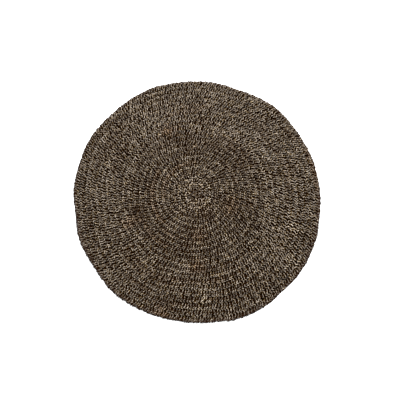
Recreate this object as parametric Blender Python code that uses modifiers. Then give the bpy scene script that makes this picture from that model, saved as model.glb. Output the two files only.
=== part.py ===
"""Seagrass rug, about 1.5 m across: one flat disc crocheted in rounds from twisted seagrass cord.

The rug is a single solid. Each crochet round shows as a raised, rounded ring with a trough between it
and the next. The outline is a little uneven, as the handmade rug is, and the underside is flat.
Metres, +Z up. The origin is under the middle of the rug's bounding box, on the floor.
"""

import math

import bpy

# The rounds of crochet
ROUNDS = 22
MEAN_REACH = 0.748  # from the rounds' centre to the rim, averaged all the way round
ROUND_WIDTH = MEAN_REACH / ROUNDS
CROWN_HEIGHT = 0.0125  # top of a round above the floor
TROUGH_HEIGHT = 0.0085  # bottom of the trough between two rounds
INNER_SHOULDER = 0.30  # where the crown starts, as a share of a round's width
OUTER_SHOULDER = 0.74  # where the crown ends
SHOULDER_DROP = 0.0007  # the inner shoulder sits this much under the outer one
RIM_TUCK = 0.005  # how far the rim's foot is drawn in under its widest line

# How uneven the handwork is
OUTLINE_FADE = 1.5  # how fast the outline's corners fade towards the centre; 0 would keep them whole
WANDER = 0.002  # a round strays this far in and out of its ring
HEIGHT_CHANGE = 0.06  # a round rises and sinks by this share of its height

SEGMENTS = 72  # steps round the rug
MERGE = 0.0001

CORD_BROWN = (0.0931, 0.0685, 0.0482, 1.0)
CORD_ROUGHNESS = 0.85

# The outline, anticlockwise from +X: bearing in degrees, reach from the rounds' centre in millimetres
OUTLINE = (
    (0, 758),
    (12, 751),
    (35, 741),
    (48, 743),
    (58, 730),
    (71, 716),
    (78, 724),
    (98, 723),
    (111, 731),
    (136, 725),
    (152, 736),
    (166, 730),
    (174, 736),
    (190, 728),
    (204, 745),
    (215, 743),
    (234, 765),
    (255, 763),
    (278, 772),
    (288, 789),
    (302, 788),
    (311, 779),
    (323, 782),
    (340, 774),
    (347, 762),
)


def remove_all_objects():
    for item in list(bpy.data.objects):
        bpy.data.objects.remove(item, do_unlink=True)


def reach(bearing):
    """Distance in metres from the rounds' centre to the rim, eased between the outline's points."""
    degrees = math.degrees(bearing) % 360
    last_bearing, last_reach = OUTLINE[-1]
    before = (last_bearing - 360, last_reach)
    for after in OUTLINE + ((OUTLINE[0][0] + 360, OUTLINE[0][1]),):
        if degrees <= after[0]:
            break
        before = after
    share = (degrees - before[0]) / (after[0] - before[0])
    eased = share * share * (3 - 2 * share)
    return (before[1] + (after[1] - before[1]) * eased) / 1000


def rug_profile():
    """Radius and height of each ring, from the centre over the rounds, down the rim and back below."""
    points = [(0.0, TROUGH_HEIGHT)]
    for number in range(ROUNDS):
        start = number * ROUND_WIDTH
        points.append((start + INNER_SHOULDER * ROUND_WIDTH, CROWN_HEIGHT - SHOULDER_DROP))
        points.append((start + OUTER_SHOULDER * ROUND_WIDTH, CROWN_HEIGHT))
        if number < ROUNDS - 1:
            points.append((start + ROUND_WIDTH, TROUGH_HEIGHT))
    points.append((MEAN_REACH, CROWN_HEIGHT / 2))
    points.append((MEAN_REACH - RIM_TUCK, 0.0))
    points.append((0.0, 0.0))
    return points


def turned_disc():
    """The profile turned once about +Z, as a plain mesh."""
    points = rug_profile()
    mesh = bpy.data.meshes.new("rug_profile")
    edges = [(index, index + 1) for index in range(len(points) - 1)]
    mesh.from_pydata([(radius, 0.0, height) for radius, height in points], edges, [])
    profile = bpy.data.objects.new("rug_profile", mesh)
    bpy.context.scene.collection.objects.link(profile)
    screw = profile.modifiers.new("turn", "SCREW")
    screw.axis = "Z"
    screw.angle = 2 * math.pi
    screw.steps = SEGMENTS
    screw.render_steps = SEGMENTS
    screw.use_merge_vertices = True
    screw.merge_threshold = MERGE
    evaluated = profile.evaluated_get(bpy.context.evaluated_depsgraph_get())
    disc = bpy.data.meshes.new_from_object(evaluated)
    bpy.data.objects.remove(profile, do_unlink=True)
    return disc


def wander(radius, bearing):
    """How far a round strays in or out at a bearing. It fades out at the centre and at the rim."""
    share = min(radius / MEAN_REACH, 1.0)
    fade = math.sin(math.pi * share)
    return WANDER * fade * (math.sin(5 * bearing + 7 * share) + 0.6 * math.sin(8 * bearing - 11 * share))


def unevenness(radius, bearing):
    """Factor on a point's height, a little different from round to round and along each one."""
    turn = radius / ROUND_WIDTH
    wave = math.sin(4 * bearing + 2.1 * turn) + math.sin(7 * bearing - 1.3 * turn)
    return 1 + HEIGHT_CHANGE * wave / 2


def handmade_radius(radius, bearing):
    """Where a point of the true disc lies on the handmade rug, as a distance from the rounds' centre."""
    share = min(radius / MEAN_REACH, 1.0)
    stretch = (reach(bearing) / MEAN_REACH - 1) * share**OUTLINE_FADE
    return radius * (1 + stretch) + wander(radius, bearing)


def shape_by_hand(disc):
    """Moves each point of the true disc to where the handmade rug has it."""
    for point in disc.vertices:
        radius = math.hypot(point.co.x, point.co.y)
        bearing = math.atan2(point.co.y, point.co.x)
        if radius > MERGE:
            new_radius = handmade_radius(radius, bearing)
            point.co.x = new_radius * math.cos(bearing)
            point.co.y = new_radius * math.sin(bearing)
            point.co.z *= unevenness(radius, bearing)


def centre_on_origin(disc):
    """Slides the rug so that the middle of its bounding box stands over the origin."""
    along_x = [point.co.x for point in disc.vertices]
    along_y = [point.co.y for point in disc.vertices]
    middle_x = (min(along_x) + max(along_x)) / 2
    middle_y = (min(along_y) + max(along_y)) / 2
    for point in disc.vertices:
        point.co.x -= middle_x
        point.co.y -= middle_y


def seagrass():
    material = bpy.data.materials.new("twisted_seagrass_cord")
    material.use_nodes = True
    shader = material.node_tree.nodes["Principled BSDF"]
    shader.inputs["Base Color"].default_value = CORD_BROWN
    shader.inputs["Roughness"].default_value = CORD_ROUGHNESS
    shader.inputs["Metallic"].default_value = 0.0
    return material


def make_rug(collection):
    disc = turned_disc()
    shape_by_hand(disc)
    centre_on_origin(disc)
    disc.name = "rug"
    disc.materials.append(seagrass())
    disc.shade_smooth()
    rug = bpy.data.objects.new("rug", disc)
    collection.objects.link(rug)


def main():
    remove_all_objects()
    collection = bpy.data.collections.new("seagrass_rug")
    bpy.context.scene.collection.children.link(collection)
    make_rug(collection)


main()
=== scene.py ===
"""Seagrass rug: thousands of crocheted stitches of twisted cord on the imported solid's own rounds."""

import math

import bpy
import numpy as np
from bpy.props import FloatProperty, FloatVectorProperty, IntProperty, PointerProperty
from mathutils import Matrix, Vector


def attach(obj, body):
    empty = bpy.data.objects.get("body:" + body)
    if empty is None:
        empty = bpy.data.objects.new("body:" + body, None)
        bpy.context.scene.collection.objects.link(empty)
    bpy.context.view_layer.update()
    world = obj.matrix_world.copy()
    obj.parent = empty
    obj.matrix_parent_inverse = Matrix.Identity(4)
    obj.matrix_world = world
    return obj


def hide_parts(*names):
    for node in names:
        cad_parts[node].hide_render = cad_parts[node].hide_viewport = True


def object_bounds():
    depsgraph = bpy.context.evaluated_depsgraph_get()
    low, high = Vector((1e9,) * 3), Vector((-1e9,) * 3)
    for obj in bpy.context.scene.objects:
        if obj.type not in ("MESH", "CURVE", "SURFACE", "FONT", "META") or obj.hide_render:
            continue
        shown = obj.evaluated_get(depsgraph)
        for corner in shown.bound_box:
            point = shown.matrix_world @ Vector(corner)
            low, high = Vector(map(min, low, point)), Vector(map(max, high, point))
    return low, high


bl_info = {
    "name": "Seagrass rug",
    "version": (1, 0, 0),
    "blender": (4, 5, 0),
    "location": "3D View > Sidebar > Rug",
    "description": "A round rug crocheted from twisted seagrass cord",
    "category": "Object",
}

BODY = "root"
NODE = "rug"
MM = 0.001
TURN = 2 * math.pi
UP = (0.0, 0.0, 1.0)
WHITE = (1.0, 1.0, 1.0, 1.0)

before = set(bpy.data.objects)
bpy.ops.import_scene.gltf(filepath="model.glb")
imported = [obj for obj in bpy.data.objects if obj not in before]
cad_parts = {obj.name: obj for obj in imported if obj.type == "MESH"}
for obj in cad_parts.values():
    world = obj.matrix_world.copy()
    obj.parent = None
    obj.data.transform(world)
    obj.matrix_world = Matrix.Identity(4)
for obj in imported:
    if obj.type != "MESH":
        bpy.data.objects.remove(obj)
CAD_BOX = [list(corner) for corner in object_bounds()]


def linear(hex_colour):
    """An sRGB colour such as 8A7B6A as linear red, green and blue, by the curve that defines sRGB."""
    values = [int(hex_colour[place : place + 2], 16) / 255 for place in (0, 2, 4)]
    return [v / 12.92 if v <= 0.04045 else ((v + 0.055) / 1.055) ** 2.4 for v in values]


# The rounds of the solid

SOLID_BEARINGS = 72  # steps round the solid
RINGS_PER_ROUND = 3  # two shoulders and a trough
UNDERSIDE = 1 * MM  # the flat underside lies below this height, and all the rounds above it
CENTRE_WITHIN = 60 * MM  # the rounds' centre lies this close to the origin
AT_CENTRE = 1 * MM  # a point this close to the rounds' centre is the centre


def rounds_of_the_solid():
    """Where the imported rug's rounds are centred, and how far out each ends at each of its bearings.

    Row 0 of the distances is the centre itself, and the last row is the rim.
    """
    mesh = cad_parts[NODE].data
    points = np.zeros(len(mesh.vertices) * 3, np.float32)
    mesh.vertices.foreach_get("co", points)
    points = np.unique(points.reshape(-1, 3).astype(float).round(6), axis=0)
    above = points[points[:, 2] > UNDERSIDE, :2]
    # The rounds' centre is the one point with no other close to it.
    inner = above[np.hypot(above[:, 0], above[:, 1]) < CENTRE_WITHIN]
    gaps = np.hypot(*(inner[:, None] - inner).T)
    np.fill_diagonal(gaps, math.inf)
    centre = inner[np.argmax(gaps.min(0))]
    offset = above - centre
    distance = np.hypot(offset[:, 0], offset[:, 1])
    offset, distance = offset[distance > AT_CENTRE], distance[distance > AT_CENTRE]
    turn = np.arctan2(offset[:, 1], offset[:, 0]) / TURN * SOLID_BEARINGS
    column = np.round(turn).astype(int) % SOLID_BEARINGS
    rings = np.array([np.sort(distance[column == number]) for number in range(SOLID_BEARINGS)]).T
    ends = rings[RINGS_PER_ROUND - 1 :: RINGS_PER_ROUND]
    return centre, np.vstack([np.zeros(SOLID_BEARINGS), ends])


CENTRE, ROUND_ENDS = rounds_of_the_solid()
ROUNDS = len(ROUND_ENDS) - 1


def round_end(number, bearing):
    """How far from the centre the given rounds end, at the given bearings, in metres."""
    place = np.mod(bearing, TURN) / TURN * SOLID_BEARINGS
    before = np.floor(place).astype(int) % SOLID_BEARINGS
    share = place - np.floor(place)
    after = (before + 1) % SOLID_BEARINGS
    return ROUND_ENDS[number, before] * (1 - share) + ROUND_ENDS[number, after] * share


# Sizes and colours that a user would change


class RugSizes(bpy.types.PropertyGroup):
    """The crochet's sizes."""

    stitch_gap: FloatProperty(
        name="Stitch spacing",
        description="Distance from one stitch to the next along a round",
        default=15.5 * MM,
        unit="LENGTH",
    )
    cord: FloatProperty(
        name="Cord",
        description="Thickness of the twisted cord where it shows on top",
        default=9 * MM,
        unit="LENGTH",
    )
    lean: FloatProperty(
        name="Lean",
        description="How far a stitch's outer end lies clockwise of its inner end",
        default=9 * MM,
        unit="LENGTH",
    )
    crown: FloatProperty(
        name="Crown",
        description="Height of a stitch's centreline at its top",
        default=9 * MM,
        unit="LENGTH",
    )
    seed: IntProperty(
        name="Seed",
        description="Number that the uneven handwork starts from",
        default=7,
    )


class RugColours(bpy.types.PropertyGroup):
    """The cord's dye colours, the painted shade and painted highlight on it, and the floor's."""

    brown: FloatVectorProperty(
        name="Brown",
        description="Most of the cord",
        subtype="COLOR",
        default=linear("6B655F"),
    )
    charcoal: FloatVectorProperty(
        name="Charcoal",
        description="Lengths that took more dye",
        subtype="COLOR",
        default=linear("524942"),
    )
    tan: FloatVectorProperty(
        name="Tan",
        description="Lengths that took less dye",
        subtype="COLOR",
        default=linear("766E67"),
    )
    rust: FloatVectorProperty(
        name="Rust",
        description="Short reddish lengths",
        subtype="COLOR",
        default=linear("6A5A4D"),
    )
    # Painted highlight: the pale colour, given to odd strands, stands in for glints off the waxy cord.
    pale: FloatVectorProperty(
        name="Pale",
        description="Odd stitches with hardly any dye",
        subtype="COLOR",
        default=linear("9A9186"),
    )
    # Painted shade: the flank colour is dark dye and painted shade on the cord's sides, in its grooves
    # and on all that lies low.
    flank: FloatVectorProperty(
        name="Flank",
        description="The cord's sides, where nothing has rubbed the dye",
        subtype="COLOR",
        default=linear("0D0500"),
    )
    # Painted shade: the depth colour, nearly black, is the core's, which shows only in the gaps between
    # the stitches, where shade falls.
    depth: FloatVectorProperty(
        name="Depth",
        description="The core between the stitches",
        subtype="COLOR",
        default=linear("050200"),
    )
    floor: FloatVectorProperty(
        name="Floor",
        description="The studio floor",
        subtype="COLOR",
        default=linear("F7F7F7"),
    )


def sizes():
    """The sizes that the panel shows."""
    return bpy.context.scene.rug_sizes


def colours():
    """The colours that the panel shows."""
    return bpy.context.scene.rug_colours


# Materials

MIX_FIRST = 6  # place of the first colour among a Mix node's inputs
MIX_SECOND = 7
MIX_RESULT = 2  # place of the mixed colour among its outputs
NOISE_LOW = 0.3  # most of a noise's values lie between these
NOISE_HIGH = 0.7

# The cord's map counts centimetres along the cord, and turns around it. Seagrass fibres are about 0.3 mm
# wide, too fine to show, so they are drawn about four times as wide.
MAP_STEP = 10 * MM
FIBRE_LENGTH = 14.286 * MM
FIBRE_WIDTH = 1.2852 * MM
GROOVE = 0.25  # where the groove between the two plies runs, in turns around the cord
GROOVE_SIDES = (0.01, 0.13)  # how far beside it the painted highlight and wear start and are full, in turns

PAINTED_LIGHT_HEIGHTS = (7.5 * MM, 12.5 * MM)  # heights where painted light on high-lying cord starts and is full; below them the cord keeps painted shade
FLOOR_REACH = (3.5 * MM, 1 * MM)  # heights where the wear from the floor starts and is full
CREST = (0.74, 1.0)  # how squarely a side faces up where a crest's painted highlight starts and is full; on the legs underneath, how squarely it faces down where the floor's wear starts and is full
WARMTH = (1.7, 1.2, 0.2, 1.0)  # tint of the painted shade, where neither painted light nor wear pales the cord
WARMTH_GONE = 0.72  # how much painted light and wear there is where that tint has gone
LUMP = 6 * MM  # size of a lump of the core


def add_node(tree, kind, settings=None, links=None):
    """Adds a node, sets its properties and inputs, and links outputs of other nodes to its inputs."""
    node = tree.nodes.new(kind)
    for name, value in (settings or {}).items():
        if isinstance(name, int) or name in node.inputs:
            node.inputs[name].default_value = value
        else:
            setattr(node, name, value)
    for name, output in (links or {}).items():
        tree.links.new(output, node.inputs[name])
    return node


def new_material(name):
    """A material without nodes. One that an earlier step made is emptied."""
    material = bpy.data.materials.get(name) or bpy.data.materials.new(name)
    material.use_nodes = True
    material.node_tree.nodes.clear()
    return material


def twisted_seagrass():
    """Dyed seagrass, twisted into two-ply cord: nearly matt, with fine fibres along each ply, painted
    highlights on its crests and painted shade on its flanks, in its grooves and low down.
    """
    material = new_material("twisted_seagrass_cord")
    tree = material.node_tree
    dye = add_node(tree, "ShaderNodeAttribute", {"attribute_name": "dye"})
    place = add_node(tree, "ShaderNodeUVMap", {"uv_map": "cord"})
    fibres_around = math.pi * sizes().cord / FIBRE_WIDTH
    stretched = add_node(
        tree,
        "ShaderNodeMapping",
        {"Scale": (MAP_STEP / FIBRE_LENGTH, fibres_around, 1.0)},
        {"Vector": place.outputs["UV"]},
    )
    fibres = add_node(
        tree,
        "ShaderNodeTexNoise",
        {"noise_dimensions": "2D", "Scale": 1.0, "Detail": 3.0, "Roughness": 0.6},
        {"Vector": stretched.outputs["Vector"]},
    )
    streaks = add_node(
        tree,
        "ShaderNodeMapRange",
        {"From Min": NOISE_LOW, "From Max": NOISE_HIGH, "To Min": 0.74, "To Max": 1.6},
        {"Value": fibres.outputs[0]},
    )
    # Painted light and shade by height: what lies high is painted pale, and what lies deep keeps painted
    # shade. What lies on the floor has been worn pale by it.
    where = add_node(tree, "ShaderNodeTexCoord")
    split = add_node(tree, "ShaderNodeSeparateXYZ", {}, {"Vector": where.outputs["Object"]})
    painted_height_light = add_node(
        tree,
        "ShaderNodeMapRange",
        {"interpolation_type": "SMOOTHSTEP", "From Min": PAINTED_LIGHT_HEIGHTS[0], "From Max": PAINTED_LIGHT_HEIGHTS[1]},
        {"Value": split.outputs["Z"]},
    )
    underneath = add_node(
        tree,
        "ShaderNodeMapRange",
        {"interpolation_type": "SMOOTHSTEP", "From Min": FLOOR_REACH[0], "From Max": FLOOR_REACH[1]},
        {"Value": split.outputs["Z"]},
    )
    painted_height_light_and_floor_wear = add_node(
        tree,
        "ShaderNodeMath",
        {"operation": "MAXIMUM"},
        {0: painted_height_light.outputs["Result"], 1: underneath.outputs["Result"]},
    )
    # The crest of each strand, where it faces up, is painted pale as a painted highlight, and its flanks
    # keep painted shade. The legs underneath are worn pale where they face the floor.
    facing = add_node(tree, "ShaderNodeSeparateXYZ", {}, {"Vector": where.outputs["Normal"]})
    painted_pale_and_rubbed_strength = add_node(tree, "ShaderNodeAttribute", {"attribute_name": "painted_pale_and_rubbed"})
    upwards = add_node(
        tree,
        "ShaderNodeMath",
        {"operation": "MULTIPLY"},
        {0: facing.outputs["Z"], 1: painted_pale_and_rubbed_strength.outputs["Fac"]},
    )
    crest = add_node(
        tree,
        "ShaderNodeMapRange",
        {"interpolation_type": "SMOOTHSTEP", "From Min": CREST[0], "From Max": CREST[1]},
        {"Value": upwards.outputs["Value"]},
    )
    # The groove between the two plies is left dark as well: painted shade in the recess, and the cord's
    # dye.
    around = add_node(tree, "ShaderNodeSeparateXYZ", {}, {"Vector": place.outputs["UV"]})
    beside = add_node(
        tree,
        "ShaderNodeMath",
        {"operation": "SUBTRACT", 1: GROOVE},
        {0: around.outputs["Y"]},
    )
    distance = add_node(tree, "ShaderNodeMath", {"operation": "ABSOLUTE"}, {0: beside.outputs["Value"]})
    ply = add_node(
        tree,
        "ShaderNodeMapRange",
        {"interpolation_type": "SMOOTHSTEP", "From Min": GROOVE_SIDES[0], "From Max": GROOVE_SIDES[1]},
        {"Value": distance.outputs["Value"]},
    )
    painted_pale_and_rubbed = add_node(
        tree,
        "ShaderNodeMath",
        {"operation": "MULTIPLY"},
        {0: crest.outputs["Result"], 1: ply.outputs["Result"]},
    )
    # The dye shows where painted light and wear pale the cord, and the flank colour's painted shade
    # shows elsewhere.
    painted_light_and_wear = add_node(
        tree,
        "ShaderNodeMath",
        {"operation": "MULTIPLY"},
        {0: painted_pale_and_rubbed.outputs["Value"], 1: painted_height_light_and_floor_wear.outputs["Value"]},
    )
    painted_light_and_wear_colour = add_node(
        tree,
        "ShaderNodeMix",
        {"data_type": "RGBA", MIX_FIRST: [*colours().flank, 1.0]},
        {0: painted_light_and_wear.outputs["Value"], MIX_SECOND: dye.outputs["Color"]},
    )
    # The painted shade is tinted warm, and the tint fades where painted light and wear pale the cord, so
    # that painted highlights stay neutral.
    shown = add_node(
        tree,
        "ShaderNodeMapRange",
        {"From Max": WARMTH_GONE},
        {"Value": painted_light_and_wear.outputs["Value"]},
    )
    warmth = add_node(
        tree,
        "ShaderNodeMix",
        {"data_type": "RGBA", MIX_FIRST: WARMTH, MIX_SECOND: WHITE},
        {0: shown.outputs["Result"]},
    )
    warmed = add_node(
        tree,
        "ShaderNodeVectorMath",
        {"operation": "MULTIPLY"},
        {0: painted_light_and_wear_colour.outputs[MIX_RESULT], 1: warmth.outputs[MIX_RESULT]},
    )
    colour = add_node(
        tree,
        "ShaderNodeVectorMath",
        {"operation": "SCALE"},
        {0: warmed.outputs["Vector"], "Scale": streaks.outputs["Result"]},
    )
    raised = add_node(
        tree,
        "ShaderNodeBump",
        {"Strength": 0.5, "Distance": 0.4 * MM},
        {"Height": fibres.outputs[0]},
    )
    shader = add_node(
        tree,
        "ShaderNodeBsdfPrincipled",
        {"Roughness": 0.5, "IOR": 1.45, "Specular IOR Level": 0.02},
        {"Base Color": colour.outputs["Vector"], "Normal": raised.outputs["Normal"]},
    )
    add_node(tree, "ShaderNodeOutputMaterial", {}, {"Surface": shader.outputs["BSDF"]})
    return material


def packed_core():
    """The dark inner turns of the same cord, pressed together: matt, rough and seen only in the gaps.
    Their nearly black colour is painted shade.
    """
    material = new_material("packed_core_painted_shade")
    tree = material.node_tree
    where = add_node(tree, "ShaderNodeTexCoord")
    lumps = add_node(
        tree,
        "ShaderNodeTexNoise",
        {"Scale": 1 / LUMP, "Detail": 3.0},
        {"Vector": where.outputs["Object"]},
    )
    shade = add_node(
        tree,
        "ShaderNodeMapRange",
        {"From Min": NOISE_LOW, "From Max": NOISE_HIGH, "To Min": 0.4, "To Max": 1.6},
        {"Value": lumps.outputs[0]},
    )
    colour = add_node(
        tree,
        "ShaderNodeVectorMath",
        {"operation": "SCALE", 0: list(colours().depth)},
        {"Scale": shade.outputs["Result"]},
    )
    raised = add_node(
        tree,
        "ShaderNodeBump",
        {"Strength": 0.8, "Distance": 1 * MM},
        {"Height": lumps.outputs[0]},
    )
    shader = add_node(
        tree,
        "ShaderNodeBsdfPrincipled",
        {"Roughness": 1.0, "Specular IOR Level": 0.0},
        {"Base Color": colour.outputs["Vector"], "Normal": raised.outputs["Normal"]},
    )
    add_node(tree, "ShaderNodeOutputMaterial", {}, {"Surface": shader.outputs["BSDF"]})
    return material


def white_floor():
    """Seamless studio paper: plain, matt and very pale."""
    material = new_material("white_studio_paper")
    tree = material.node_tree
    shader = add_node(
        tree,
        "ShaderNodeBsdfPrincipled",
        {"Base Color": [*colours().floor, 1.0], "Roughness": 0.95, "Specular IOR Level": 0.1},
    )
    add_node(tree, "ShaderNodeOutputMaterial", {}, {"Surface": shader.outputs["BSDF"]})
    return material


# The strand of cord that every stitch is bent from

NEAR = 0.01  # a point of the straight strand, which is 2 across, is at a place if it lies this close


def deselect_everything():
    if bpy.context.object and bpy.context.object.mode != "OBJECT":
        bpy.ops.object.mode_set(mode="OBJECT")
    bpy.ops.object.select_all(action="DESELECT")


def select_points(mesh, wanted):
    """Selects, in edit mode, the points of the mesh for which wanted(point) is true."""
    bpy.ops.mesh.select_all(action="DESELECT")
    bpy.ops.object.mode_set(mode="OBJECT")
    for vertex in mesh.vertices:
        vertex.select = wanted(vertex.co)
    for edge in mesh.edges:
        edge.select = all(mesh.vertices[index].select for index in edge.vertices)
    bpy.ops.object.mode_set(mode="EDIT")


def model_strand(sides, lengths, waist, end, turns):
    """Models one straight strand of cord, 1 long and 2 across, and returns what its copies need.

    A cylinder is cut into lengths, pressed in along two opposite sides so that two plies show, drawn in
    at its ends and twisted. Each point's place around the cord is taken before the twist, so that fibres
    and grooves wind with the plies.
    """
    deselect_everything()
    bpy.ops.mesh.primitive_cylinder_add(vertices=sides, radius=1, depth=1, end_fill_type="NGON")
    strand = bpy.context.object
    mesh = strand.data
    bpy.ops.object.mode_set(mode="EDIT")
    bpy.ops.mesh.select_mode(type="EDGE")
    bpy.ops.mesh.select_all(action="DESELECT")
    bpy.ops.object.mode_set(mode="OBJECT")
    for edge in mesh.edges:
        low, high = sorted(mesh.vertices[index].co.z for index in edge.vertices)
        edge.select = low < 0 < high
    bpy.ops.object.mode_set(mode="EDIT")
    bpy.ops.mesh.subdivide(number_cuts=lengths - 1)
    bpy.ops.mesh.select_mode(type="VERT")
    select_points(mesh, lambda co: abs(co.x) < NEAR)
    bpy.ops.transform.resize(value=(1, waist, 1), center_override=(0, 0, 0))
    select_points(mesh, lambda co: abs(co.z) > 0.5 - NEAR)
    bpy.ops.transform.resize(value=(end, end, 1), center_override=(0, 0, 0))
    bpy.ops.object.mode_set(mode="OBJECT")
    around = [abs(math.atan2(vertex.co.y, vertex.co.x)) / TURN for vertex in mesh.vertices]
    twist = strand.modifiers.new("twist", "SIMPLE_DEFORM")
    twist.deform_method = "TWIST"
    twist.deform_axis = "Z"
    twist.angle = turns * TURN
    bpy.ops.object.modifier_apply(modifier="twist")
    model = {
        "points": np.array([vertex.co[:] for vertex in mesh.vertices]),
        "faces": [list(polygon.vertices) for polygon in mesh.polygons],
        "around": np.array(around),
    }
    bpy.data.objects.remove(strand, do_unlink=True)
    return model


class Strands:
    """Collects bent copies of strands, and joins them into one mesh."""

    def __init__(self):
        self.points = []
        self.corners = []
        self.sizes = []
        self.dyes = []
        self.rubbings = []
        self.maps = []
        self.count = 0

    def add(self, strand, path, across, upright, phase, dye, start, painted_pale_and_rubbed=1.0):
        """Bends a strand along each path and keeps the copies.

        path is copies by lengths + 1 by 3, across and upright are the cord's half width and half
        height, phase its turn about its own line, dye its colour and start its place along the cord.
        The last argument is how strongly a painted highlight pales the strand where it faces up, for
        each point of the path, and is below 0 where instead the floor has worn it pale underneath.
        """
        points, faces = strand["points"], strand["faces"]
        copies = len(path)
        levels = np.unique(points[:, 2].round(4))
        ring = np.searchsorted(levels, points[:, 2].round(4))
        ahead = np.gradient(path, axis=1)
        ahead /= np.linalg.norm(ahead, axis=2, keepdims=True)
        side = np.cross(ahead, UP)
        side /= np.linalg.norm(side, axis=2, keepdims=True)
        over = np.cross(side, ahead)
        turn_cos, turn_sin = np.cos(phase)[:, None], np.sin(phase)[:, None]
        wide = points[:, 0] * turn_cos - points[:, 1] * turn_sin
        high = points[:, 0] * turn_sin + points[:, 1] * turn_cos
        bent = path[:, ring]
        bent = bent + side[:, ring] * (wide * across[:, None])[..., None]
        bent = bent + over[:, ring] * (high * upright[:, None])[..., None]
        self.points.append(bent.reshape(-1, 3))
        flat = np.array([index for face in faces for index in face])
        shift = self.count + np.arange(copies)[:, None] * len(points)
        self.corners.append((flat + shift).reshape(-1))
        self.sizes.append(np.tile([len(face) for face in faces], copies))
        self.dyes.append(np.repeat(dye, len(points), 0))
        self.rubbings.append(np.tile(np.broadcast_to(painted_pale_and_rubbed, len(levels))[ring], copies))
        reach = np.linalg.norm(np.diff(path, axis=1), axis=2).sum(1)
        along = (points[:, 2] + 0.5) * reach[:, None] + start[:, None]
        around = np.broadcast_to(strand["around"], along.shape)
        corner_map = np.stack([along / MAP_STEP, around], 2)[:, flat]
        self.maps.append(corner_map.reshape(-1, 2))
        self.count += copies * len(points)

    def join(self, name):
        """One object of all the strands, with their dye, their painted highlight and floor wear, and
        their cord map.
        """
        points = np.concatenate(self.points)
        corners = np.concatenate(self.corners)
        sizes_of_faces = np.concatenate(self.sizes)
        starts = np.concatenate([[0], np.cumsum(sizes_of_faces)[:-1]])
        mesh = bpy.data.meshes.new(name)
        mesh.vertices.add(len(points))
        mesh.loops.add(len(corners))
        mesh.polygons.add(len(sizes_of_faces))
        mesh.vertices.foreach_set("co", points.astype(np.float32).reshape(-1))
        mesh.loops.foreach_set("vertex_index", corners.astype(np.int32))
        mesh.polygons.foreach_set("loop_start", starts.astype(np.int32))
        mesh.polygons.foreach_set("loop_total", sizes_of_faces.astype(np.int32))
        mesh.update(calc_edges=True)
        cord = mesh.uv_layers.new(name="cord")
        cord.data.foreach_set("uv", np.concatenate(self.maps).astype(np.float32).reshape(-1))
        dye = mesh.attributes.new("dye", "FLOAT_COLOR", "POINT")
        shades = np.concatenate(self.dyes)
        shades = np.hstack([shades, np.ones((len(shades), 1))])
        dye.data.foreach_set("color", shades.astype(np.float32).reshape(-1))
        painted_pale_and_rubbed = mesh.attributes.new("painted_pale_and_rubbed", "FLOAT", "POINT")
        painted_pale_and_rubbed.data.foreach_set("value", np.concatenate(self.rubbings).astype(np.float32))
        mesh.shade_smooth()
        made = bpy.data.objects.new(name, mesh)
        bpy.context.scene.collection.objects.link(made)
        return made


# The stitches' places and colours

SPACED_AT = 0.7  # where across a round the stitch spacing is measured, as a share of its width
STEPS = (0.8, 1.2)  # the shortest and longest step from stitch to stitch, against the mean
TIGHTEST = 8 * MM  # a stitch nearer the centre than this turns as one that is this far out
UPPER_RIGHT = math.pi / 4  # bearing where the stitches lean most, and where the rim gets the least painted shade, as it faces the light
DYES = ("brown", "charcoal", "tan", "rust")  # what the lengths of cord lean towards
DYE_ODDS = (0.62, 0.17, 0.16, 0.05)
DYED_LENGTH = (6, 26)  # how many stitches a length makes: from the first number to just under the second
STRAND_SHADES = (0.4, 1.6)  # the darkest and palest strand, against the dye of its stitch
STANDS_OUT_BY = 0.65  # how much of its colour a length that stands out shows at its middle
ODD_SHARE = 0.012  # share of the strands painted pale, as painted glints off the waxy cord
LAST_REACH = 0.85  # how much of the last round's width its stitches take up
TANGLE_STRAY = 0.15  # how far a tangled stitch strays in or out, as a share of the round's width
CORD_PATTERN = 0.5  # metres of the cord's pattern that the strands are taken from

# Bands of rounds, each one piece of the scene: first round and last
BANDS = (
    (1, 10),
    (11, 14),
    (15, 17),
    (18, 19),
    (20, 21),
    (22, 22),
)

# Lengths of cord that stand out in the photograph: the round, the bearing of their middle in degrees,
# how many degrees they run, and their colour
STANDING_OUT = (
    (5, 298, 40, "charcoal"),
    (9, 97, 30, "charcoal"),
    (10, 70, 26, "charcoal"),
    (11, 50, 24, "charcoal"),
    (11, 199, 22, "charcoal"),
    (10, 33, 18, "charcoal"),
    (10, 347, 14, "charcoal"),
    (7, 341, 30, "rust"),
    (8, 274, 24, "rust"),
    (13, 272, 14, "rust"),
    (13, 205, 10, "rust"),
    (13, 114, 12, "rust"),
    (22, 255, 10, "rust"),
    (3, 270, 90, "tan"),
    (18, 11, 16, "tan"),
    (19, 341, 6, "pale"),
    (21, 326, 7, "pale"),
    (19, 274, 6, "pale"),
)

# Batches of dyed cord: the first round and last that each was used for, and how pale it came out
BATCHES = (
    (1, 1, 0.9),
    (2, 3, 1.14),
    (8, 12, 0.86),
    (13, 17, 1.06),
    (19, 22, 0.96),
)


def all_stitches():
    """The round, bearing and dye of every stitch, from the centre outwards."""
    random = np.random.default_rng(sizes().seed)
    rounds, bearings = [], []
    for number in range(1, ROUNDS + 1):
        inner, outer = ROUND_ENDS[number - 1].mean(), ROUND_ENDS[number].mean()
        reach = inner + (outer - inner) * SPACED_AT
        count = round(TURN * reach / sizes().stitch_gap)
        steps = random.uniform(*STEPS, count)
        places = np.cumsum(steps) / steps.sum() + random.uniform()
        rounds.append(np.full(count, number))
        bearings.append(places * TURN)
    rounds, bearings = np.concatenate(rounds), np.concatenate(bearings)
    return rounds, bearings, stitch_dyes(rounds, bearings, random)


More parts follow.
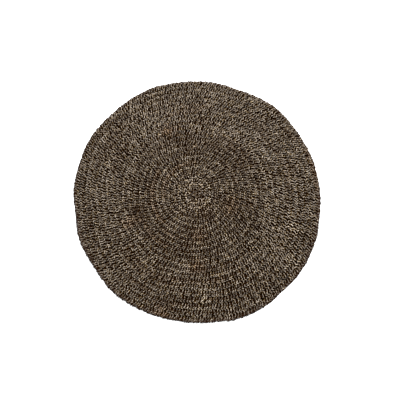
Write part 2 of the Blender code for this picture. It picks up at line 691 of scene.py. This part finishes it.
def stitch_dyes(rounds, bearings, random):
    """A colour for every stitch. The cord's dye changes slowly from length to length as it is worked."""
    palette = {name: np.array(getattr(colours(), name)) for name in (*DYES, "pale")}
    total = len(rounds)
    dyes = np.zeros((total, 3))
    first = 0
    while first < total:
        length = int(random.integers(*DYED_LENGTH))
        name = str(random.choice(DYES, p=DYE_ODDS))
        strength = random.uniform(0.2, 0.5)
        dyes[first : first + length] = palette["brown"] * (1 - strength) + palette[name] * strength
        dyes[first : first + length] *= random.uniform(0.92, 1.08)
        first += length
    degrees = np.degrees(bearings) % 360
    for number, middle, run, name in STANDING_OUT:
        # The colour fades at the length's ends, and shows more weakly in the rounds beside it.
        off = np.abs((degrees - middle + 180) % 360 - 180)
        along = np.clip(1.3 - off / (run / 2), 0, 1)
        beside = np.clip(1.6 - np.abs(rounds - number), 0, 1)
        close = (STANDS_OUT_BY * (along * beside))[:, None]
        dyes = dyes * (1 - close) + palette[name] * close
    for number, last, strength in BATCHES:
        dyes[(rounds >= number) & (rounds <= last)] *= strength
    return dyes * random.uniform(0.85, 1.15, total)[:, None]


def placed(distance, bearing, height):
    """Points at a distance and a bearing from the rounds' centre, and a height above the floor."""
    across = distance * np.cos(bearing) + CENTRE[0]
    away = distance * np.sin(bearing) + CENTRE[1]
    return np.stack([across, away, np.broadcast_to(height, across.shape)], -1)


def path_of(rounds, bearings, out, along, height):
    """Points along a strand of each stitch.

    out is a share of the round's width, along a distance along the round, and height is in metres too.
    """
    inner = round_end(rounds - 1, bearings)
    outer = round_end(rounds, bearings)
    distance = inner + (outer - inner) * out
    return placed(distance, bearings + along / np.maximum(distance, TIGHTEST), height)


class Band:
    """The stitches of a few rounds, with random numbers that are drawn in the same order each time."""

    def __init__(self, first, last, stitches):
        rounds, bearings, dyes = stitches
        chosen = (rounds >= first) & (rounds <= last)
        self.rounds = rounds[chosen][:, None]
        self.bearings = bearings[chosen][:, None]
        self.dyes = dyes[chosen]
        self.count = int(chosen.sum())
        self.side = np.where(np.arange(self.count) % 2, 1.0, -1.0)[:, None]
        self.random = np.random.default_rng(sizes().seed * 100 + first)
        self.strands = Strands()
        self.lean = sizes().lean * (self.slow_change() + self.vary(-0.4, 0.4))
        # The first rounds are worked into a knot, and are a tangle.
        self.tangle = np.clip(1.3 - 0.2 * self.rounds, 0, 1)
        # The inner rounds are worked neatly, and the outer ones more loosely, most of all on the far
        # side.
        self.loose = np.clip(self.rounds / 14 * (1 + 0.4 * np.sin(self.bearings)), 0.2, 1.2)
        # No round runs quite evenly. Each takes up a little from the one before.
        self.wander = 0.12 * np.sin(5 * self.bearings + 0.4 * self.rounds)
        self.wander += 0.08 * np.sin(11 * self.bearings - 0.5 * self.rounds)
        self.wander *= np.clip((self.rounds - 6) / 10, 0, 1) * np.clip((ROUNDS - self.rounds) / 2, 0, 1)
        # The last round stays inside the edging.
        self.reach = np.where(self.rounds == ROUNDS, LAST_REACH, 1)

    def vary(self, low, high):
        """One random number for each stitch, as a column."""
        return self.random.uniform(low, high, self.count)[:, None]

    def slow_change(self):
        """The hand's lean drifts along the rounds, and is strongest at the upper right."""
        drift = 0.15 * np.sin(3 * self.bearings + 0.9 * self.rounds) + 0.1 * np.sin(7 * self.bearings)
        return 1.05 + drift + 0.2 * np.cos(self.bearings - UPPER_RIGHT)

    def stray(self, loosely):
        """How far each stitch lies in or out of its place, as a share of the round's width."""
        return loosely * self.loose * self.vary(-1, 1) + TANGLE_STRAY * self.tangle * self.vary(-1, 1)

    def lay(self, strand, out, along, height, across, upright, shade, painted_pale_and_rubbed=1.0):
        """Bends a strand along the same kind of path at every stitch of the band."""
        out = (out + self.wander) * self.reach
        path = path_of(self.rounds, self.bearings, out, along, height)
        # A few odd strands are painted pale, as painted glints.
        odd = self.vary(0, 1) < ODD_SHARE
        dye = np.where(odd, np.array(colours().pale), self.dyes * shade)
        self.strands.add(
            strand,
            path,
            across[:, 0],
            upright[:, 0],
            self.vary(0, TURN)[:, 0],
            dye,
            self.vary(0, CORD_PATTERN)[:, 0],
            painted_pale_and_rubbed,
        )


# The posts

POST_LENGTHS = 5  # short straight lengths that each is bent from
POST_DIP = 3.8 * MM  # height of its ends, where they go under the loops
POST_START = -0.01  # where it starts and how far out it runs, as shares of the round's width
POST_RUN = 0.63
POST_PIVOT = 0.6  # how far along it is the point that stays in place as it leans and the V opens
V_SPREAD = 3 * MM  # half of what a loosely worked V widens by from its inner to its outer end
ARCH_FULLNESS = 0.6  # the power of a sine: 1 is a plain arch, and less is a fuller one


def arch(share, dip, top):
    """Height along a strand that comes up quickly, stays up and goes down again."""
    return dip + (top - dip) * np.sin(math.pi * share) ** ARCH_FULLNESS


def lay_posts(band):
    """The posts of the stitches, two and two in a V that opens outwards and leans over."""
    share = np.linspace(0, 1, POST_LENGTHS + 1)
    strand = model_strand(sides=8, lengths=POST_LENGTHS, waist=0.55, end=0.5, turns=0.65)
    half = sizes().cord / 2
    bow = band.loose * band.vary(-2, 2) * MM * np.sin(math.pi * share)
    spread = band.side * V_SPREAD * (0.4 + 0.6 * band.loose) * (share - POST_PIVOT)
    knot = band.tangle * (band.vary(-20, 20) * (share - 0.5) + band.vary(-3, 3)) * MM
    uneven = band.stray(0.1)
    aside = (0.8 + 1.4 * band.loose) * MM * band.vary(-1, 1)
    band.lay(
        strand,
        out=POST_START + uneven + POST_RUN * share * band.vary(0.88, 1.12),
        along=band.lean * (POST_PIVOT - share) * band.vary(0.7, 1.2) + spread + bow + knot + aside,
        height=arch(share, POST_DIP, sizes().crown * band.vary(0.85, 1.08)),
        across=half * band.vary(0.75, 1.0),
        upright=half * band.vary(0.75, 0.9),
        shade=(0.68 + 0.4 * band.loose) * band.vary(*STRAND_SHADES),
    )


# The loops

LOOP_LENGTHS = 4  # short straight lengths that each is bent from
LOOP_DIP = 6.5 * MM  # height of its ends
LOOP_RUN = 1.12  # how far along the round it runs, as a share of the stitch spacing
RIM_SHADE = 0.3  # how much painted shade darkens the outermost loops: none at the upper right, twice this at the lower left

# Each loop of a stitch: where its middle lies and how much further out its end is than its middle, as
# shares of the round's width, and how far it is moved along the round, as a share of the stitch spacing
LOOPS = (
    (0.69, 0.2, 0.32),
    (0.95, -0.18, 0.0),
)


def lay_loops(band):
    """The loops on top of each stitch, which make a braid along the round's outer side."""
    share = np.linspace(0, 1, LOOP_LENGTHS + 1)
    strand = model_strand(sides=8, lengths=LOOP_LENGTHS, waist=0.55, end=0.5, turns=0.5)
    half = sizes().cord / 2
    gap = sizes().stitch_gap
    for middle, rise, moved in LOOPS:
        slope = rise * (0.4 + 0.7 * band.loose**2) + 0.08 * band.loose**2 * band.vary(-1, 1)
        slope = slope + 0.25 * band.tangle * band.vary(-1, 1)
        uneven = band.stray(0.06)
        reach = gap * LOOP_RUN * (1 + 0.25 * band.loose * band.vary(-1, 1))
        start = moved * (1.2 - band.loose) * gap - 0.4 * band.lean + band.vary(-3, 3) * MM
        # The outermost loops are darkened at the lower left with painted shade, where the rim faces away
        # from the light.
        outermost = (band.rounds == ROUNDS) & (middle == LOOPS[-1][0])
        rim_shade = 1 - outermost * RIM_SHADE * (1 - np.cos(band.bearings - UPPER_RIGHT))
        band.lay(
            strand,
            out=middle + uneven + 2 * slope * (share - 0.5),
            along=start + reach * (0.5 - share),
            height=arch(share, LOOP_DIP, sizes().crown * band.vary(0.92, 1.1)),
            across=half * band.vary(0.75, 1.02),
            upright=half * band.vary(0.7, 0.9),
            shade=rim_shade * (1.46 - 0.42 * band.loose) * band.vary(*STRAND_SHADES),
        )


# The legs underneath

UNDER_LENGTHS = 2  # short straight lengths that each is bent from
UNDER_START = -0.04  # where it starts, as a share of the round's width. It ends at the round's end.
UNDER_HALF = 3.0 * MM  # half its thickness
UNDER_WIDTH = 0.42  # half its width, as a share of the stitch spacing
RUBBED_BELOW = -1.5  # how strongly the floor wears it pale, below 0 because its lower side is the worn one; its upper side keeps painted shade


def lay_under_legs(band):
    """The back of each stitch, pressed flat on the floor. It shows from below and deep in the gaps."""
    share = np.linspace(0, 1, UNDER_LENGTHS + 1)
    strand = model_strand(sides=4, lengths=UNDER_LENGTHS, waist=0.9, end=0.7, turns=0.15)
    gap = sizes().stitch_gap
    band.lay(
        strand,
        out=UNDER_START + band.vary(-0.08, 0.08) + (1 - UNDER_START) * share,
        along=gap / 2 + band.vary(-2, 2) * MM - band.lean * (0.5 - share),
        height=UNDER_HALF,
        across=UNDER_WIDTH * gap * band.vary(0.85, 1.1),
        upright=UNDER_HALF * band.vary(0.9, 1.0),
        shade=band.vary(0.4, 1.4),
        painted_pale_and_rubbed=RUBBED_BELOW,
    )


def crochet_band(first, last, stitches):
    """All the stitches of a band of rounds, joined into one piece."""
    band = Band(first, last, stitches)
    lay_posts(band)
    lay_loops(band)
    lay_under_legs(band)
    return band.strands.join(f"stitches_rounds_{first:02d}_{last:02d}")


def dress(pieces, material):
    """Gives the pieces their material, and says which body they belong to."""
    for piece in pieces:
        piece.data.materials.append(material)
        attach(piece, BODY)


class RUG_OT_crochet(bpy.types.Operator):
    """Crochet all the rounds from leaning stitches of twisted cord"""

    bl_idname = "rug.crochet"
    bl_label = "Crochet the rounds"

    def execute(self, context):
        stitches = all_stitches()
        bands = [crochet_band(first, last, stitches) for first, last in BANDS]
        dress(bands, twisted_seagrass())
        return {"FINISHED"}


# The edging

EDGING_LENGTHS = 5  # short straight lengths that each stitch is bent from
EDGING_GAP = 8 * MM  # distance from one stitch to the next
EDGING_REACH = 18 * MM  # how far in from its widest line a stitch starts
EDGING_SWING = 0.55 * math.pi  # a little over a quarter turn, so it comes back in under that line
EDGING_OUTSET = 1.5 * MM  # how far outside the solid's rim that line lies, before it varies
EDGING_RISE = 6 * MM  # how much higher a stitch starts than it ends
EDGING_WIDTH = 0.52  # half a stitch's width and height, as shares of the distance between them
EDGING_HEIGHT = 0.4
EDGING_SHADES = (0.2, 1.3)  # the darkest and palest stitch, against the dye of its length of cord


def crochet_edging(dyes):
    """Small tight stitches that wrap the rim, joined into one piece."""
    random = np.random.default_rng(sizes().seed + 1)
    count = round(ROUND_ENDS[-1].mean() * TURN / EDGING_GAP)
    bearings = (np.arange(count) + random.uniform(-0.2, 0.2, count)) / count * TURN
    share = np.linspace(0, 1, EDGING_LENGTHS + 1)
    strand = model_strand(sides=6, lengths=EDGING_LENGTHS, waist=0.8, end=0.9, turns=0.4)
    distance = round_end(ROUNDS, bearings)[:, None] - EDGING_REACH * (1 - np.sin(EDGING_SWING * share))
    # Two neighbours at a time stand out or lie back, so the rim is knobbly.
    knobs = np.repeat(random.uniform(-3.5, 2, count), 2)[:count]
    distance = distance + EDGING_OUTSET + knobs[:, None] * MM
    slant = random.uniform(-14, 2, count)[:, None] * MM
    bearing = bearings[:, None] + slant * (share - 0.5) / distance
    height = EDGING_RISE * np.cos(0.5 * math.pi * share**1.3) + UNDER_HALF
    # The edging is worked from the last lengths of cord, and is darkened at the lower left with painted
    # shade, where the rim faces away from the light.
    picked = dyes[np.arange(-count, 0) % len(dyes)]
    shade = random.uniform(*EDGING_SHADES, count) * (0.85 + 0.35 * np.cos(bearings - UPPER_RIGHT))
    # Its top gets the painted highlight, which fades out along it, so that its outer side, where it
    # drops to the floor, keeps painted shade.
    strands = Strands()
    strands.add(
        strand,
        placed(distance, bearing, height),
        EDGING_GAP * EDGING_WIDTH * random.uniform(0.85, 1.1, count),
        EDGING_GAP * EDGING_HEIGHT * random.uniform(0.8, 1.1, count),
        random.uniform(0, TURN, count),
        picked * shade[:, None],
        random.uniform(0, CORD_PATTERN, count),
        painted_pale_and_rubbed=np.clip(1.1 - 3.3 * share, 0, 1),
    )
    return strands.join("edging")


class RUG_OT_wrap_rim(bpy.types.Operator):
    """Wrap the rim in small tight stitches"""

    bl_idname = "rug.wrap_rim"
    bl_label = "Wrap the rim"

    def execute(self, context):
        *_, dyes = all_stitches()
        dress([crochet_edging(dyes)], twisted_seagrass())
        return {"FINISHED"}


# The core

CORE_TOP = 3.6 * MM  # height of its upper side above the floor
CORE_FOOT = 2.0 * MM  # height of its lower side
CORE_TUCK = 4 * MM  # how far its rim lies inside the solid's
MERGE = 0.01 * MM


class RUG_OT_lay_core(bpy.types.Operator):
    """Lay the thin core, painted dark as the shade in the gaps, that the stitches close over"""

    bl_idname = "rug.lay_core"
    bl_label = "Lay the core"

    def execute(self, context):
        deselect_everything()
        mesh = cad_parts[NODE].data.copy()
        mesh.name = "core"
        core = bpy.data.objects.new("core", mesh)
        context.scene.collection.objects.link(core)
        context.view_layer.objects.active = core
        core.select_set(True)
        bpy.ops.object.mode_set(mode="EDIT")
        bpy.ops.mesh.select_all(action="SELECT")
        bpy.ops.mesh.remove_doubles(threshold=MERGE)
        bpy.ops.object.mode_set(mode="OBJECT")
        top = CAD_BOX[1][2]
        centre = Vector(CENTRE)
        drawn_in = 1 - CORE_TUCK / ROUND_ENDS[-1].mean()
        for vertex in mesh.vertices:
            vertex.co.xy = centre + (vertex.co.xy - centre) * drawn_in
            vertex.co.z = CORE_FOOT + (CORE_TOP - CORE_FOOT) * vertex.co.z / top
        mesh.materials.clear()
        mesh.shade_smooth()
        dress([core], packed_core())
        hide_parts(NODE)
        return {"FINISHED"}


class RUG_OT_declare_cloth(bpy.types.Operator):
    """A step that leaves the rug as it is"""

    bl_idname = "rug.declare_cloth"
    bl_label = "Declare the cloth"

    def execute(self, context):
        return {"FINISHED"}


# The stage

LENS = 55.0  # mm
SENSOR = 36.0  # mm
CAMERA_DISTANCE = 3.70
CAMERA_TILT = math.radians(12.35)  # from straight down, towards the viewer's side
AIM = (30 * MM, -41 * MM)  # where the picture's middle falls, from the rounds' centre
FLOOR_SIZE = 14.0
SKY_STRENGTH = 1.1  # the even light from all around


def add_soft_light(name, size, power, place):
    """A square soft box that faces the rug's middle."""
    deselect_everything()
    bpy.ops.object.light_add(type="AREA", location=place)
    light = bpy.context.object
    light.name = name
    light.data.shape = "SQUARE"
    light.data.size = size
    light.data.energy = power
    light.rotation_euler = (-Vector(place)).to_track_quat("-Z", "Y").to_euler()


class RUG_OT_set_stage(bpy.types.Operator):
    """Add the floor, the soft studio light and the camera"""

    bl_idname = "rug.set_stage"
    bl_label = "Set the stage"

    def execute(self, context):
        deselect_everything()
        bpy.ops.mesh.primitive_plane_add(size=FLOOR_SIZE, location=(0, 0, 0))
        floor = context.object
        floor.name = "floor"
        floor.data.materials.append(white_floor())
        add_soft_light("key", size=2.9, power=1950, place=(2.4, 5.3, 5.8))
        add_soft_light("fill", size=3.0, power=60, place=(-1.8, -1.8, 2.6))
        world = bpy.data.worlds.new("studio")
        world.use_nodes = True
        sky = world.node_tree.nodes["Background"]
        sky.inputs["Color"].default_value = WHITE
        sky.inputs["Strength"].default_value = SKY_STRENGTH
        context.scene.world = world
        context.scene.view_settings.view_transform = "Standard"
        aim = Vector((CENTRE[0] + AIM[0], CENTRE[1] + AIM[1], 0))
        towards_camera = Vector((0, -math.sin(CAMERA_TILT), math.cos(CAMERA_TILT)))
        place = aim + towards_camera * CAMERA_DISTANCE
        bpy.ops.object.camera_add(location=place, rotation=(CAMERA_TILT, 0, 0))
        camera = context.object
        camera.name = "camera"
        camera.data.lens = LENS
        camera.data.sensor_width = SENSOR
        context.scene.camera = camera
        return {"FINISHED"}


# The panel


class RUG_PT_panel(bpy.types.Panel):
    """Lists the rug's sizes, colours and steps"""

    bl_idname = "RUG_PT_panel"
    bl_label = "Seagrass rug"
    bl_space_type = "VIEW_3D"
    bl_region_type = "UI"
    bl_category = "Rug"

    def draw(self, context):
        for group in (context.scene.rug_sizes, context.scene.rug_colours):
            for name in group.__annotations__:
                self.layout.prop(group, name)
        for operator in OPERATORS:
            self.layout.operator(operator.bl_idname)


OPERATORS = (
    RUG_OT_set_stage,
    RUG_OT_lay_core,
    RUG_OT_crochet,
    RUG_OT_wrap_rim,
    RUG_OT_declare_cloth,
)
CLASSES = (RugSizes, RugColours, *OPERATORS, RUG_PT_panel)


def register():
    for each in CLASSES:
        bpy.utils.register_class(each)
    bpy.types.Scene.rug_sizes = PointerProperty(type=RugSizes)
    bpy.types.Scene.rug_colours = PointerProperty(type=RugColours)


def unregister():
    del bpy.types.Scene.rug_colours
    del bpy.types.Scene.rug_sizes
    for each in reversed(CLASSES):
        bpy.utils.unregister_class(each)


def main():
    register()
    bpy.ops.rug.set_stage()
    bpy.ops.rug.lay_core()
    bpy.ops.rug.crochet()
    bpy.ops.rug.wrap_rim()
    bpy.ops.rug.declare_cloth()


if __name__ == "__main__":
    main()
